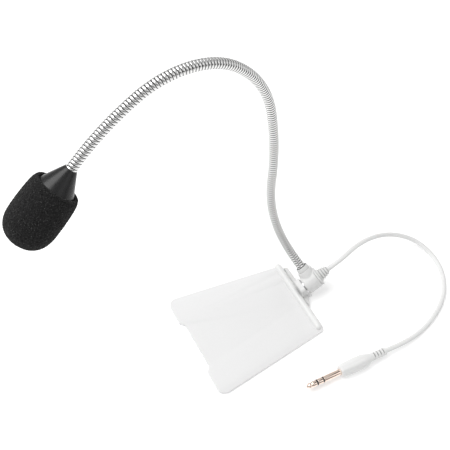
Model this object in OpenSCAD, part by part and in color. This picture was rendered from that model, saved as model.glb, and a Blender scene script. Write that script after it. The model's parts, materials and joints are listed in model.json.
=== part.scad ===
// Small gooseneck microphone on a slide-under foot plate.
// Millimetres. +X runs from the notched end of the plate to its bead end, +Y across it, +Z up.
// The origin is the middle of the plate's underside.

/* [Foot plate] */
// Length of the foot plate, notched end to bead end
plate_l = 72; // [66:1:80]
// Width of the plate at its notched end
plate_front_w = 66; // [60:1:76]
// Width of the plate at its bead end
plate_rear_w = 48.5; // [47:0.5:56]
// Thickness of the plate
plate_t = 1.8; // [1.6:0.1:2.2]
// Corner radius at the notched end
front_r = 4.5; // [3:0.5:6]
// Width of the notch
notch_w = 31; // [24:1:36]
// Depth of the notch
notch_d = 2.4; // [1.5:0.1:3.5]
// Radius of the half-round stop bead
bead_r = 2.2; // [2.1:0.1:2.5]

/* [Swivel] */
// Upward tilt of the swivel axis
tilt = 30; // [27:1:33]
// Turn of the neck socket above the horizontal at rest
socket_turn = 38; // [30:1:46]
// Outer diameter of the barrel
barrel_d = 11.6; // [11.2:0.1:12]
// Length of the barrel
barrel_l = 10; // [9.6:0.1:10.4]
// Distance from the barrel's axis to the mouth of the neck collar
socket_reach = 10.6; // [10.4:0.1:11]
// Thickness of the bracket's lug along the swivel axis
lug_t = 2.9; // [2.5:0.1:3.2]
// Diameter of the shoulder of the pivot screw
pivot_d = 3; // [2.8:0.1:3.2]

/* [Gooseneck] */
// Outer diameter of the gooseneck
neck_d = 5.3; // [5:0.1:5.6]
// Bore of the gooseneck
neck_bore = 2.6; // [2.4:0.1:2.8]
// Diameter of the screened lead inside it
lead_d = 1.8; // [1.6:0.1:2]

/* [Capsule head] */
// Narrow end of the capsule housing
housing_small_d = 5.9; // [5.8:0.1:6.2]
// Wide end of the capsule housing
housing_large_d = 17.8; // [17.4:0.1:18.2]
// Largest diameter of the foam windscreen
foam_d = 24; // [23.4:0.2:26]
// Length of the foam windscreen
foam_l = 30.8; // [30:0.2:33]

/* [Cord and plug] */
// Diameter of the cord
cord_d = 2.8; // [2.6:0.1:3]
// Diameter of the plug's contacts
contact_d = 3.5; // [3.5:0.1:3.5]
// Length of the contacts in front of the handle
contact_l = 21.5; // [20:0.5:23]
// Diameter of the plug's handle
handle_d = 8.2; // [7.8:0.1:8.6]
// Turn of the plug away from the length of the plate
plug_yaw = 2; // [0:1:4]

/* [Hidden] */
$fn = 48;
eps = 0.01;

// Foot plate, bead and its screws
bead_x = plate_l / 2 - bead_r;
bead_end = 22.3;
bead_y = 1.4;
rear_r = 2.5;
tongue_t = 0.8;
tongue_x = bead_x - 1.9;
bead_screw_ys = [-20.5, -4, 13, 20.5];
screw_d = 1.4;
screw_head_d = 2.8;
screw_head_h = 0.8;
screw_l = 3.4;

// Swivel barrel: its centre and the fit of its parts along the axis
barrel_x = plate_l / 2 + 7.5;
barrel_y = 3;
barrel_z = 10;
barrel_wall = 1.4;
end_wall = 2.8;
cap_t = 1.4;
washer_t = 0.6;
washer_gap = 0.05;
lug_face = -barrel_l / 2 - washer_t - 2 * washer_gap;
lug_w = 9;
lug_top = 5.2;
head_seat = lug_face - lug_t + 1.3;
pivot_clearance = 0.05;
pivot_head_d = 5.4;
pivot_head_h = 1.2;
thread_d = 2.2;
insert_d = 4.2;
insert_l = 2.6;
socket_d = 9;
collar_d = 7.4;
collar_t = 2.6;
ferrule_d = 6.6;
neck_inset = 5;
seal_d = 6.2;
seal_t = 0.5;

// Strain relief
relief_l = 6.2;
relief_large_d = 7.8;
relief_small_d = 5.4;
relief_neck_d = 4.6;
relief_flange_d = 7;
relief_flange_t = 0.8;
rib_n = 4;
rib_h = 0.45;

// Bracket bar outside the bead
bar_x0 = plate_l / 2 + 0.05;
bar_w = 2;
bar_foot = 3.4;
bar_h = 3.6;
bar_y0 = -7;
bar_y1 = 21;
bar_lift = 0.25;
gusset_t = 1.4;

// Gooseneck: length, bend and roll of each section, from the socket to the head
NECK = [[27.5, 35, 21.5], [41, 23, 44.5], [51.5, 14.5, -137], [45, 38.5, 0.5], [51.5, 69, -6.5], [38, 13.5, 25]];
neck_last = len(NECK) - 1;
joint_gap = 0.25;
end_root = 1.5;
end_less = 0.12;
lead_gap = 1.2;
lead_start_gap = 2.8;

// Head, measured from the visible end of the gooseneck
housing_start = 2;
cone_end = 13.6;
nose_d = 15;
nose_end = 27;
neck_into_head = 8.5;
upper_ferrule_d = 7;
upper_ferrule_start = 4.5;
capsule_d = 9.7;
capsule_start = 19.5;
capsule_l = 5;
foam_start = 11.7;
foam_shoulder = 15;
dome_start = 17.2;
dome_power = 0.8;
foam_fit = 0.1;

// Plug
handle_l = 20.3;
handle_tail_l = 9.8;
handle_tail_d = 4.6;
slot_n = 4;
slot_w = 0.6;
slot_depth = 0.25;
plug_x = 28.4;
plug_y = -51.1;
sleeve_part = 0.5;
ring_part = 0.18;
insulator_t = 0.8;

// Cord: centre of the tube from the strain relief to the plug
cord_exit = 5 + relief_l;
ROUTE = [
    [60.5, 3, 19.2], [67, 4.5, 20.6], [74, 6.5, 20.4], [80.5, 8, 19.2],
    [87.5, 9, 17.4], [94.5, 9.5, 15], [101.5, 9, 12.4], [108, 7.5, 9.8],
    [114, 4.5, 7.4], [119, 0.5, 5.2], [122, -5, 3.6], [123.6, -11.5, 2.5],
    [123.4, -18.2, 1.8], [121.5, -25, 1.5], [118, -31, 1.4], [113.5, -36.5, 1.4],
    [108, -41, 1.4], [101.5, -44.8, 1.4], [94.8, -47.8, 1.4], [88, -50, 1.6],
    [81, -51.6, 2.2], [74, -52.4, 3], [67, -52.6, 3.6]
];

// ---- outlines ----

// One rounded corner of an outline: p is [x, y, radius], a and b its neighbours
function corner(a, p, b) =
    let (
        u = [a[0] - p[0], a[1] - p[1]] / norm([a[0] - p[0], a[1] - p[1]]),
        v = [b[0] - p[0], b[1] - p[1]] / norm([b[0] - p[0], b[1] - p[1]]),
        half = acos(u * v) / 2,
        middle = [p[0], p[1]] + (u + v) / norm(u + v) * p[2] / sin(half),
        from = atan2(p[1] + u[1] * p[2] / tan(half) - middle[1], p[0] + u[0] * p[2] / tan(half) - middle[0]),
        turn = (180 - 2 * half) * (u[0] * v[1] - u[1] * v[0] < 0 ? 1 : -1),
        steps = ceil(abs(turn) / 9)
    )
    [for (k = [0:steps]) middle + p[2] * [cos(from + turn * k / steps), sin(from + turn * k / steps)]];

// Outline with every corner rounded by its own radius, corners in anticlockwise order
function rounded(points) =
    let (n = len(points))
    [for (i = [0:n - 1]) each corner(points[(i + n - 1) % n], points[i], points[(i + 1) % n])];

// ---- frames ----

// Local Z along the swivel axis, local X down across it
module on_axis(along = 0) {
    translate([barrel_x, barrel_y, barrel_z])
    rotate([0, 90 - tilt, 0])
    translate([0, 0, along])
    children();
}

// Local Z out of the neck socket, local X the way that the neck first bends
module at_socket(along = 0) {
    translate([barrel_x, barrel_y, barrel_z])
    rotate([0, -tilt, 0])
    rotate([socket_turn - 90, 0, 0])
    rotate([0, 0, -90])
    translate([0, 0, along])
    children();
}

// Moves from one end of a neck section to the other
module past_section(section) {
    radius = section[0] / (section[1] * PI / 180);
    rotate([0, 0, section[2]])
    translate([radius * (1 - cos(section[1])), 0, radius * sin(section[1])])
    rotate([0, section[1], 0])
    children();
}

// Frame at the start of neck section i, local Z along the neck
module at_section(i) {
    if (i == 0) {
        at_socket(socket_reach) children();
    } else {
        at_section(i - 1) past_section(NECK[i - 1]) children();
    }
}

// ---- gooseneck ----

// Curved rod along a section with the outline given as its child, trimmed by angles at its two ends
module bent_rod(section, trim_start = 0, trim_end = 0) {
    radius = section[0] / (section[1] * PI / 180);
    rotate([0, 0, section[2]])
    translate([radius, 0, 0])
    rotate([90, 0, 180])
    rotate([0, 0, trim_start])
    rotate_extrude(angle = section[1] - trim_start - trim_end, $fn = 96)
    translate([radius, 0])
    children();
}

// Wall of the flexible tube, thinned by `less` on both faces
module tube_outline(less = 0) {
    difference() {
        circle(d = neck_d - 2 * less);
        circle(d = neck_bore + 2 * less);
    }
}

// Half ball on the far end of a section, rooted in the tube's wall and bored for the lead
module ball_end() {
    ball_r = neck_d / 2 - end_less;
    rotate_extrude()
    intersection() {
        union() {
            circle(r = ball_r);
            translate([0, -end_root]) square([ball_r, end_root]);
        }
        translate([neck_bore / 2 + end_less, -end_root]) square(2 * neck_d);
    }
}

// Section i of the flexible tube: a ball end at its far joint and a cup at its near one
module neck_section(i) {
    color([0.80, 0.80, 0.79])
    at_section(i)
    difference() {
        union() {
            bent_rod(NECK[i]) tube_outline();
            if (i == 0) {
                translate([0, 0, -neck_inset]) linear_extrude(neck_inset + end_root) tube_outline(end_less);
            }
            if (i == neck_last) {
                past_section(NECK[i])
                translate([0, 0, -end_root])
                linear_extrude(neck_into_head + end_root)
                tube_outline(end_less);
            } else {
                past_section(NECK[i]) ball_end();
            }
        }
        if (i > 0) {
            sphere(d = neck_d + 2 * joint_gap);
        }
    }
}

// The stretch of the screened lead inside section i
module neck_lead(i) {
    radius = NECK[i][0] / (NECK[i][1] * PI / 180);
    trim = lead_gap / (radius * PI / 180);
    start_trim = lead_start_gap / (radius * PI / 180);
    end_d = lead_d - end_less;
    color([0.25, 0.25, 0.26])
    at_section(i)
    union() {
        bent_rod(NECK[i], i == 0 ? 0 : start_trim, i == neck_last ? 0 : trim) circle(d = lead_d, $fn = 24);
        if (i == 0) {
            translate([0, 0, -neck_inset]) cylinder(d = end_d, h = neck_inset + end_root, $fn = 24);
        }
        if (i == neck_last) {
            past_section(NECK[i])
            translate([0, 0, -end_root])
            cylinder(d = end_d, h = neck_into_head + end_root, $fn = 24);
        }
    }
}

// ---- foot ----

module foot_plate() {
    half_l = plate_l / 2;
    front = plate_front_w / 2;
    rear = plate_rear_w / 2;
    notch = notch_w / 2;
    color([0.93, 0.93, 0.93])
    difference() {
        linear_extrude(plate_t)
        polygon(rounded([
            [-half_l, -front, front_r], [half_l, -rear, rear_r], [half_l, rear, rear_r], [-half_l, front, front_r],
            [-half_l, notch + 1.2, 1.8], [-half_l + notch_d, notch - 1.2, 1.8],
            [-half_l + notch_d, 1.2 - notch, 1.8], [-half_l, -notch - 1.2, 1.8]
        ]));
        for (y = bead_screw_ys) {
            translate([bead_x, y, -eps]) cylinder(d = screw_d + 0.2, h = plate_t + 2 * eps);
            translate([bead_x, y, -eps]) cylinder(d = screw_head_d + 0.2, h = screw_head_h + 0.05);
        }
    }
}

// Half-round strip that stops the plate against the edge of what stands on it
module stop_bead() {
    color([0.94, 0.94, 0.94])
    difference() {
        intersection() {
            translate([bead_x, bead_y, plate_t])
            union() {
                rotate([90, 0, 0]) cylinder(r = bead_r, h = 2 * bead_end, center = true);
                for (side = [-1, 1]) {
                    translate([0, side * bead_end, 0]) sphere(r = bead_r);
                }
            }
            translate([0, -plate_l, plate_t]) cube([plate_l, 2 * plate_l, 10]);
        }
        translate([tongue_x - 0.05, bar_y0 + 1.95, plate_t - eps])
        cube([plate_l, bar_y1 - bar_y0 - 3.9, tongue_t + eps]);
        for (y = bead_screw_ys) {
            translate([bead_x, y, 0]) cylinder(d = screw_d, h = screw_l);
        }
    }
}

module plate_screws() {
    color("silver")
    for (y = bead_screw_ys) {
        translate([bead_x, y, 0])
        difference() {
            union() {
                cylinder(d = screw_d, h = screw_l);
                translate([0, 0, 0.02]) cylinder(d = screw_head_d, h = screw_head_h);
            }
            translate([0, 0, -0.01]) cylinder(d = 1.2, h = 0.42, $fn = 6);
        }
    }
}

// Moulded bar along the bead, its tongue under the bead, and the leaning lug with its gusset
module bracket() {
    color([0.92, 0.92, 0.92])
    difference() {
        union() {
            // slim bar, thicker where the lug stands on it and running out to a point at its near end
            translate([bar_x0, 0, bar_lift])
            linear_extrude(bar_h - bar_lift)
            polygon([
                [0, bar_y0], [0.6, bar_y0], [bar_foot, barrel_y - lug_w / 2], [bar_foot, barrel_y + lug_w / 2],
                [bar_w, barrel_y + lug_w / 2 + 1.4], [bar_w, bar_y1 - 1], [bar_w - 1, bar_y1], [0, bar_y1]
            ]);
            translate([tongue_x, bar_y0 + 2, plate_t])
            cube([bar_x0 + 1 - tongue_x, bar_y1 - bar_y0 - 4, tongue_t]);
            intersection() {
                on_axis(lug_face - lug_t)
                union() {
                    translate([0, -lug_w / 2, 0]) cube([2 * lug_w, lug_w, lug_t]);
                    translate([-lug_top, -lug_w / 2 + 1.5, 0]) cube([lug_top + 1, lug_w - 3, lug_t]);
                    translate([-lug_top + 1.5, -lug_w / 2, 0]) cube([lug_top, lug_w, lug_t]);
                    for (side = [-1, 1]) {
                        translate([-lug_top + 1.5, side * (lug_w / 2 - 1.5), 0]) cylinder(r = 1.5, h = lug_t);
                    }
                }
                translate([0, -plate_l, bar_lift]) cube([2 * plate_l, 2 * plate_l, 40]);
            }
            // gusset on the near side of the lug, down to the end of the bar
            translate([0, barrel_y - lug_w / 2 + gusset_t, 0])
            intersection() {
                rotate([90, 0, 0])
                linear_extrude(gusset_t)
                polygon([[bar_x0, 1], [bar_x0 + bar_foot + 1.6, 1], [bar_x0 + 1, 8], [bar_x0 - 1.4, 8]]);
                translate([bar_x0 - 3, -plate_l, bar_lift]) cube([bar_foot + 6, 2 * plate_l, 40]);
            }
        }
        on_axis(lug_face - lug_t - 5) cylinder(d = pivot_d + 2 * pivot_clearance, h = lug_t + 6);
        // room for the barrel and its washer
        on_axis(lug_face) cylinder(d = barrel_d + 0.8, h = 8);
        // recess for the head of the pivot screw
        on_axis(head_seat - 9) cylinder(d = pivot_head_d + 0.6, h = 9);
        // holes for the screws that clamp the tongue
        for (y = bead_screw_ys) {
            translate([bead_x, y, 0]) cylinder(d = screw_d + 0.2, h = screw_l);
        }
    }
}

// ---- swivel ----

// Shoulder screw: its head bears on the lug and its thread ends in the barrel's insert
module pivot_screw() {
    shoulder_l = -barrel_l / 2 - head_seat;
    color([0.62, 0.62, 0.63])
    on_axis(head_seat)
    difference() {
        union() {
            translate([0, 0, -pivot_head_h - 0.03]) cylinder(d = pivot_head_d, h = pivot_head_h);
            translate([0, 0, -0.1]) cylinder(d = pivot_d, h = shoulder_l + 0.1);
            cylinder(d = thread_d, h = shoulder_l + insert_l - 0.3);
        }
        translate([0, 0, -pivot_head_h - 0.1]) cylinder(d = 2.2, h = 0.9, $fn = 6);
    }
}

module friction_washer() {
    color([0.45, 0.45, 0.46])
    on_axis(lug_face + washer_gap)
    difference() {
        cylinder(d = 9, h = washer_t);
        translate([0, 0, -eps]) cylinder(d = pivot_d + 0.1, h = washer_t + 2 * eps);
    }
}

module pivot_insert() {
    color([0.78, 0.62, 0.33])
    on_axis(-barrel_l / 2)
    difference() {
        cylinder(d = insert_d, h = insert_l);
        translate([0, 0, -eps]) cylinder(d = thread_d, h = insert_l + 2 * eps);
    }
}

// Shell of the barrel with the neck socket standing out of its side
module barrel_body() {
    inner_d = barrel_d - 2 * barrel_wall;
    color([0.91, 0.91, 0.91])
    difference() {
        union() {
            on_axis(-barrel_l / 2)
            rotate_extrude()
            polygon(concat(
                [[0, 0]],
                [for (a = [0:15:90]) [barrel_d / 2 - 0.8 + 0.8 * sin(a), 0.8 - 0.8 * cos(a)]],
                [[barrel_d / 2, barrel_l - cap_t], [0, barrel_l - cap_t]]
            ));
            at_socket() cylinder(d = socket_d, h = socket_reach - collar_t);
        }
        on_axis(-barrel_l / 2 + end_wall) cylinder(d = inner_d, h = barrel_l);
        // room for the cap under the socket
        on_axis(barrel_l / 2 - cap_t) cylinder(d = barrel_d + 0.04, h = barrel_l);
        on_axis(-barrel_l / 2 - eps) cylinder(d = insert_d, h = end_wall + 2 * eps);
        at_socket() cylinder(d = ferrule_d, h = socket_reach);
    }
}

module barrel_cap() {
    spigot_d = barrel_d - 2 * barrel_wall;
    color([0.90, 0.90, 0.90])
    on_axis(barrel_l / 2 - cap_t)
    difference() {
        union() {
            rotate_extrude()
            polygon(concat(
                [[0, 0], [barrel_d / 2, 0]],
                [for (a = [0:15:90]) [barrel_d / 2 - 0.8 + 0.8 * cos(a), cap_t - 0.8 + 0.8 * sin(a)]],
                [[0, cap_t]]
            ));
            difference() {
                translate([0, 0, -1]) cylinder(d = spigot_d, h = 1 + eps);
                translate([0, 0, -1 - eps]) cylinder(d = spigot_d - 1.6, h = 1 + eps);
            }
        }
        translate([0, 0, -2]) cylinder(d = relief_neck_d, h = 4);
    }
}

// Ribbed boot: flange inside the cap, neck through it, tapering ribs outside
module strain_relief() {
    pitch = relief_l / rib_n;
    color([0.89, 0.89, 0.89])
    on_axis(barrel_l / 2)
    difference() {
        union() {
            translate([0, 0, -cap_t - relief_flange_t]) cylinder(d = relief_flange_d, h = relief_flange_t);
            translate([0, 0, -cap_t - eps]) cylinder(d = relief_neck_d, h = cap_t + 2 * eps);
            for (i = [0:rib_n - 1]) {
                d0 = relief_large_d - (relief_large_d - relief_small_d) * i / rib_n;
                d1 = relief_large_d - (relief_large_d - relief_small_d) * (i + 1) / rib_n;
                translate([0, 0, i * pitch]) cylinder(d1 = d0, d2 = d1 + 0.3, h = pitch * 0.62);
                translate([0, 0, i * pitch]) cylinder(d1 = d0 - 2 * rib_h, d2 = d1 - 2 * rib_h, h = pitch);
            }
        }
        translate([0, 0, -cap_t - relief_flange_t - eps]) cylinder(d = cord_d, h = relief_l + cap_t + 2);
    }
}

// The cord's own end inside the strain relief
module cord_tail() {
    tail = relief_l + cap_t + relief_flange_t;
    color([0.93, 0.93, 0.93])
    on_axis(barrel_l / 2 + relief_l - tail) cylinder(d = cord_d, h = tail);
}

// Lead that turns from the cord into the neck
module barrel_lead() {
    turn_r = 2.6;
    start = barrel_l / 2 - cap_t - relief_flange_t;
    rise = socket_reach - neck_inset - turn_r;
    color([0.25, 0.25, 0.26])
    union() {
        on_axis(turn_r) cylinder(d = lead_d, h = start - turn_r);
        translate([barrel_x, barrel_y, barrel_z])
        rotate([0, -tilt, 0])
        rotate([socket_turn, 0, 0])
        translate([turn_r, turn_r, 0])
        rotate([0, 0, 180])
        rotate_extrude(angle = 90)
        translate([turn_r, 0])
        circle(d = lead_d, $fn = 24);
        at_socket(turn_r) cylinder(d = lead_d, h = rise);
    }
}

module lower_ferrule() {
    color([0.72, 0.72, 0.72])
    at_socket(socket_reach - neck_inset)
    difference() {
        cylinder(d = ferrule_d, h = neck_inset - collar_t);
        translate([0, 0, -eps]) cylinder(d = neck_d, h = neck_inset);
    }
}

module socket_collar() {
    color([0.94, 0.94, 0.94])
    at_socket(socket_reach - collar_t)
    difference() {
        rotate_extrude()
        polygon(concat(
            [[0, 0], [collar_d / 2, 0]],
            [for (a = [0:15:90]) [collar_d / 2 - 0.4 + 0.4 * cos(a), collar_t - 0.4 + 0.4 * sin(a)]],
            [[0, collar_t]]
        ));
        translate([0, 0, -eps]) cylinder(d = neck_d, h = collar_t + 2 * eps);
        translate([0, 0, collar_t - seal_t]) cylinder(d = seal_d, h = seal_t + eps);
    }
}

module collar_seal() {
    color([0.1, 0.1, 0.1])
    at_socket(socket_reach - seal_t)
    difference() {
        cylinder(d = seal_d, h = seal_t);
        translate([0, 0, -eps]) cylinder(d = neck_d, h = seal_t + 2 * eps);
    }
}

// ---- head ----

// Frame at the visible end of the gooseneck, local Z towards the nose
module at_head(along = 0) {
    at_section(neck_last) past_section(NECK[neck_last]) translate([0, 0, along]) children();
}

module upper_ferrule() {
    color([0.72, 0.72, 0.72])
    at_head(upper_ferrule_start)
    difference() {
        cylinder(d = upper_ferrule_d, h = neck_into_head - upper_ferrule_start);
        translate([0, 0, -eps]) cylinder(d = neck_d, h = neck_into_head);
    }
}

// Flared housing with a straight nose that the foam grips
module capsule_housing() {
    small_r = housing_small_d / 2;
    large_r = housing_large_d / 2;
    nose_r = nose_d / 2;
    bore_r = neck_d / 2;
    inner_r = nose_r - 0.8;
    color([0.06, 0.06, 0.065])
    at_head()
    rotate_extrude($fn = 64)
    polygon([
        [bore_r, housing_start], [small_r, housing_start], [large_r - 0.4, cone_end - 0.9],
        [large_r, cone_end - 0.4], [large_r, cone_end], [nose_r, cone_end + 0.6], [nose_r, nose_end],
        [inner_r, nose_end], [inner_r, cone_end + 1], [upper_ferrule_d / 2, neck_into_head],
        [upper_ferrule_d / 2, upper_ferrule_start], [bore_r, upper_ferrule_start]
    ]);
}

module capsule_boot() {
    color([0.12, 0.12, 0.12])
    at_head(capsule_start - 0.5)
    difference() {
        cylinder(d = nose_d - 1.6, h = capsule_l + 1);
        translate([0, 0, 0.5]) cylinder(d = capsule_d, h = capsule_l + 1);
        translate([0, 0, -eps]) cylinder(d = capsule_d - 1, h = 1);
    }
}

module capsule() {
    color([0.75, 0.76, 0.77])
    at_head(capsule_start)
    difference() {
        cylinder(d = capsule_d, h = capsule_l);
        translate([0, 0, capsule_l - 0.3]) cylinder(d = 2, h = 1);
    }
}

module capsule_felt() {
    color([0.05, 0.05, 0.05])
    at_head(capsule_start + capsule_l) cylinder(d = capsule_d - 0.4, h = 0.5);
}

module capsule_board() {
    color([0.1, 0.35, 0.2])
    at_head(capsule_start - 0.9) cylinder(d = capsule_d - 1.4, h = 0.9);
}

// Two cores of the lead, soldered to the board
module capsule_wires() {
    color([0.7, 0.2, 0.15])
    at_head(neck_into_head)
    for (side = [-1, 1]) {
        translate([side * 0.6, 0, 0]) cylinder(d = 0.8, h = capsule_start - 0.9 - neck_into_head);
    }
}

// Perforated cap pressed into the nose
module grille_cap() {
    color([0.08, 0.08, 0.08])
    at_head(nose_end)
    difference() {
        union() {
            cylinder(d = nose_d, h = 0.8);
            translate([0, 0, -1]) cylinder(d = nose_d - 1.6, h = 1 + eps);
        }
        translate([0, 0, -1 - eps]) cylinder(d = nose_d - 3.2, h = 1 + eps);
        for (ring = [0:2], k = [0:max(0, 6 * ring - 1)]) {
            rotate([0, 0, ring == 0 ? 0 : 60 * k / ring])
            translate([2.1 * ring, 0, -eps])
            cylinder(d = 1.2, h = 2, $fn = 16);
        }
    }
}

// Foam ball with a flat mouth that slips over the nose and the edge of the flare
module windscreen() {
    large_r = housing_large_d / 2 + foam_fit;
    pocket_end = nose_end - foam_start + 0.8 + foam_fit;
    flare = cone_end - foam_start;
    flare_slope = (housing_large_d - housing_small_d) / 2 / (cone_end - housing_start);
    foam_r = foam_d / 2;
    rim_r = large_r + 1.6;
    rise = foam_shoulder - 1.4;
    dome = foam_l - dome_start;
    color([0.13, 0.13, 0.13])
    at_head(foam_start)
    rotate_extrude($fn = 64)
    polygon(concat(
        [[0, pocket_end], [nose_d / 2 + foam_fit, pocket_end], [nose_d / 2 + foam_fit, flare + 0.6 + foam_fit],
        [large_r, flare + foam_fit], [large_r, flare - 0.6], [large_r - (flare - 0.6) * flare_slope, 0]],
        [for (a = [-90:15:0]) [large_r + 0.4 + 1.2 * cos(a), 1.2 + 1.2 * sin(a)]],
        [for (a = [15:15:75]) [rim_r + (foam_r - rim_r) * sin(a), 1.4 + rise * (1 - cos(a))]],
        [for (a = [0:9:81]) [foam_r * pow(cos(a), dome_power), dome_start + dome * pow(sin(a), dome_power)]],
        [[0, foam_l]]
    ));
}

// ---- cord and plug ----

// Frame at the front face of the plug's handle, local Z out towards the tip
module at_plug(along = 0) {
    translate([plug_x, plug_y, handle_d / 2])
    rotate([0, 0, -plug_yaw])
    rotate([0, -90, 0])
    translate([0, 0, along])
    children();
}

axis_dir = [cos(tilt), 0, sin(tilt)];
barrel_centre = [barrel_x, barrel_y, barrel_z];
plug_dir = [-cos(plug_yaw), sin(plug_yaw), 0];
plug_back = [plug_x, plug_y, handle_d / 2] - plug_dir * (handle_l + handle_tail_l);
PATH = concat([barrel_centre + axis_dir * cord_exit], ROUTE, [plug_back]);

function unit(v) = v / norm(v);
function path_dir(i) =
    i == 0 ? axis_dir :
    i == len(PATH) - 1 ? plug_dir :
    unit(PATH[i + 1] - PATH[i - 1]);

// Ring of points round the path at point i
function cord_ring(i, sides) =
    let (
        t = path_dir(i),
        across = unit(cross([0, 0, 1], t)),
        over = cross(t, across)
    )
    [for (k = [0:sides - 1]) PATH[i] + cord_d / 2 * (across * cos(360 * k / sides) + over * sin(360 * k / sides))];

module cord() {
    sides = 8;
    rings = len(PATH);
    color([0.95, 0.95, 0.95])
    polyhedron(
        points = [for (i = [0:rings - 1]) each cord_ring(i, sides)],
        faces = concat(
            [[for (k = [0:sides - 1]) k]],
            [[for (k = [0:sides - 1]) (rings - 1) * sides + sides - 1 - k]],
            [for (i = [0:rings - 2], k = [0:sides - 1]) [
                i * sides + k, (i + 1) * sides + k, (i + 1) * sides + (k + 1) % sides, i * sides + (k + 1) % sides
            ]]
        ),
        convexity = 6
    );
}

// Moulded handle with a slotted tail round the cord
module plug_handle() {
    r = handle_d / 2;
    tail_r = handle_tail_d / 2;
    pitch = handle_tail_l / (slot_n + 1);
    color([0.94, 0.94, 0.94])
    difference() {
        union() {
            at_plug(-handle_l)
            rotate_extrude()
            polygon([
                [0, 0], [tail_r + 0.1, 0], [r - 1, 2.2], [r - 0.15, 4.8], [r, 10], [r - 0.25, handle_l - 4],
                [r - 0.6, handle_l - 0.8], [r - 1, handle_l], [0, handle_l]
            ]);
            at_plug(-handle_l - handle_tail_l) cylinder(d = handle_tail_d, h = handle_tail_l + eps);
        }
        for (i = [1:slot_n]) {
            at_plug(-handle_l - i * pitch - slot_w / 2)
            difference() {
                cylinder(d = handle_tail_d + 1, h = slot_w);
                translate([0, 0, -eps]) cylinder(r = tail_r - slot_depth, h = slot_w + 2 * eps);
            }
        }
        at_plug(-2) cylinder(d = 2.6, h = 3);
    }
}

// A length of round contact with a bore for what passes through it
module contact(along, length, d, bore) {
    at_plug(along)
    difference() {
        cylinder(d = d, h = length);
        if (bore > 0) {
            translate([0, 0, -eps]) cylinder(d = bore, h = length + 2 * eps);
        }
    }
}

sleeve_l = contact_l * sleeve_part;
ring_start = sleeve_l + insulator_t;
ring_l = contact_l * ring_part - insulator_t;
tip_start = ring_start + ring_l + insulator_t;
tip_l = contact_l - tip_start;

module plug_sleeve() {
    color([0.83, 0.68, 0.36])
    union() {
        contact(0, sleeve_l, contact_d, 2.2);
        contact(-2, 2 + eps, 2.6, 2.2);
    }
}

module plug_ring() {
    color([0.83, 0.68, 0.36]) contact(ring_start, ring_l, contact_d, 1.6);
}

// Tip contact: a barrel, a waist and a blunt cone
module plug_tip() {
    r = contact_d / 2;
    color([0.83, 0.68, 0.36])
    at_plug(tip_start)
    union() {
        rotate_extrude()
        polygon([
            [0, 0], [r, 0], [r, tip_l - 3.6], [r - 0.45, tip_l - 2.9], [r - 0.05, tip_l - 1.9],
            [r - 0.3, tip_l - 1.2], [0.5, tip_l], [0, tip_l]
        ]);
        translate([0, 0, -tip_start - 1.5]) cylinder(d = 1, h = tip_start + 1.5 + eps);
    }
}

module plug_insulators() {
    color([0.05, 0.05, 0.05])
    union() {
        contact(sleeve_l, insulator_t, contact_d, 1.6);
        contact(ring_start + ring_l, insulator_t, contact_d, 1);
        contact(-1.5, sleeve_l + 1.5 + eps, 2.2, 1.6);
        contact(ring_start - insulator_t / 2, ring_l + insulator_t, 1.6, 1);
        contact(-1.5, ring_start + 1.5, 1.6, 1);
    }
}

foot_plate();
stop_bead();
plate_screws();
bracket();
pivot_screw();
friction_washer();
pivot_insert();
barrel_body();
barrel_cap();
strain_relief();
cord_tail();
barrel_lead();
lower_ferrule();
socket_collar();
collar_seal();
neck_section(0);  // neck_section_1
neck_section(1);  // neck_section_2
neck_section(2);  // neck_section_3
neck_section(3);  // neck_section_4
neck_section(4);  // neck_section_5
neck_section(5);  // neck_section_6
neck_lead(0);  // neck_lead_1
neck_lead(1);  // neck_lead_2
neck_lead(2);  // neck_lead_3
neck_lead(3);  // neck_lead_4
neck_lead(4);  // neck_lead_5
neck_lead(5);  // neck_lead_6
upper_ferrule();
capsule_housing();
capsule_boot();
capsule();
capsule_felt();
capsule_board();
capsule_wires();
grille_cap();
windscreen();
cord();
plug_handle();
plug_sleeve();
plug_ring();
plug_tip();
plug_insulators();
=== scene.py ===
import json
import math

import bmesh
import bpy
import numpy as np
from mathutils import Matrix, Vector


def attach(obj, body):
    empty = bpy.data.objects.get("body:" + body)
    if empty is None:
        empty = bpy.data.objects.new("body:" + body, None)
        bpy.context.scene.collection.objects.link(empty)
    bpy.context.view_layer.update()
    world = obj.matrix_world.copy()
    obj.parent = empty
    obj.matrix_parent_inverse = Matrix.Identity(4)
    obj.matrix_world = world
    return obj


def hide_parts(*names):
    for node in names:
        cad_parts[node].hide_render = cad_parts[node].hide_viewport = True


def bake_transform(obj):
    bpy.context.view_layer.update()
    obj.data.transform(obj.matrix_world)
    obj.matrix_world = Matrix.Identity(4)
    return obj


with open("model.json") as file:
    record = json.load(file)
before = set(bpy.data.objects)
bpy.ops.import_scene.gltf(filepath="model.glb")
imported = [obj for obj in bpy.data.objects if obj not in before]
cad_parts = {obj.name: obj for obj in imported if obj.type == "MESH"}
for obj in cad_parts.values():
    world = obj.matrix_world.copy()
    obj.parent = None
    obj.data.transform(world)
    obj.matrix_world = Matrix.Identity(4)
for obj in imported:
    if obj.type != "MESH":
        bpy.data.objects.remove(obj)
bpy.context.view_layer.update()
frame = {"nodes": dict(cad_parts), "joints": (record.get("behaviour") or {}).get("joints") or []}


# ---------------------------------------------------------------- camera
# Stands off the near corner of the foot plate's notched end, well above it, so that the plate shows as
# a leaning trapezoid and the gooseneck arches over it. It is turned a little about its line of sight.

MM = 0.001
camera_at = np.array([-141.0, -175.2, 404.6]) * MM
looks_at = np.array([5.0, 42.6, 40.0]) * MM
camera_roll = math.radians(6.1)

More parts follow.
